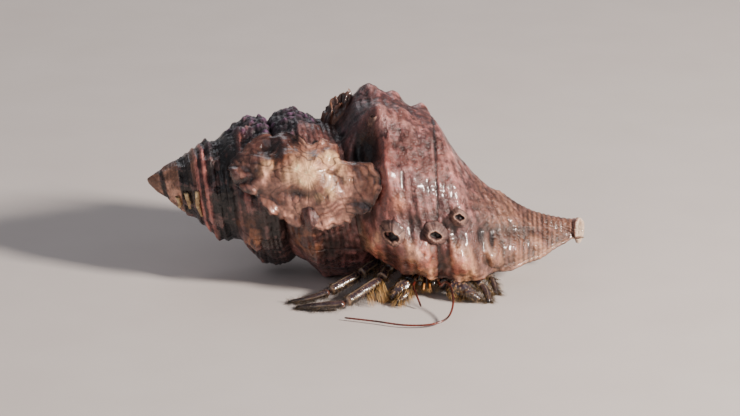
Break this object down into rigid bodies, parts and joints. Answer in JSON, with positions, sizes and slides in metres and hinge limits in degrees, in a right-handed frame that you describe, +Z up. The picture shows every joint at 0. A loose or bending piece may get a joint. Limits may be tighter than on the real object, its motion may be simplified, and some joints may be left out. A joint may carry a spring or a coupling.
{
  "type": "hermit crab",
  "caption": "Hermit crab at rest under the outer lip of a knobbed spindle-shaped snail shell that carries an oyster, barnacles and worm tubes.",
  "frame": {"origin": "middle of the bounding box at floor level", "axes": "+Z up, the shell lies along X with its apex towards -X and its canal towards +X, the crab faces -Y"},
  "size_m": [0.1178, 0.0756, 0.0506],
  "materials": {
    "shell": "wet worn shell with cream, brown and purple staining",
    "oyster": "wet layered oyster shell",
    "barnacle": "matt ribbed plates",
    "worm_tube": "matt lime tube",
    "cuticle": "wet dark cuticle with pale stripes and golden bristles",
    "soft_skin": "soft moist skin",
    "eye": "glossy faceted cornea",
    "feeler": "dark red-brown"
  },
  "bodies": {
    "root": {"shell": "shell", "oyster": "oyster", "top_growth": "oyster", "barnacle_front": "barnacle", "barnacle_middle": "barnacle", "barnacle_upper": "barnacle", "barnacle_ridge": "barnacle", "worm_tube_small": "worm_tube", "worm_tube_middle": "worm_tube", "worm_tube_large": "worm_tube", "carapace_shield": "cuticle", "thorax": "cuticle", "carapace_rear": "soft_skin", "abdomen_front": "soft_skin", "abdomen_middle": "soft_skin", "abdomen_rear": "soft_skin", "tail_plate": "cuticle", "uropod_right": "cuticle", "uropod_left": "cuticle", "eyestalk_right": "cuticle", "eye_right": "eye", "antennule_right": "feeler", "antenna_base_right": "cuticle", "maxilliped_right": "cuticle", "antenna_right": "feeler", "claw_merus_right": "cuticle", "claw_carpus_right": "cuticle", "claw_palm_right": "cuticle", "claw_finger_right": "cuticle", "leg2_merus_right": "cuticle", "leg2_carpus_right": "cuticle", "leg2_propodus_right": "cuticle", "leg2_dactyl_right": "cuticle", "leg3_merus_right": "cuticle", "leg3_carpus_right": "cuticle", "leg3_propodus_right": "cuticle", "leg3_dactyl_right": "cuticle", "leg4_right": "cuticle", "leg5_right": "cuticle", "eyestalk_left": "cuticle", "eye_left": "eye", "antennule_left": "feeler", "antenna_base_left": "cuticle", "maxilliped_left": "cuticle", "antenna_left": "feeler", "claw_merus_left": "cuticle", "claw_carpus_left": "cuticle", "claw_palm_left": "cuticle", "claw_finger_left": "cuticle", "leg2_merus_left": "cuticle", "leg2_carpus_left": "cuticle", "leg2_propodus_left": "cuticle", "leg2_dactyl_left": "cuticle", "leg3_merus_left": "cuticle", "leg3_carpus_left": "cuticle", "leg3_propodus_left": "cuticle", "leg3_dactyl_left": "cuticle", "leg4_left": "cuticle", "leg5_left": "cuticle"}
  },
  "joints": []
}
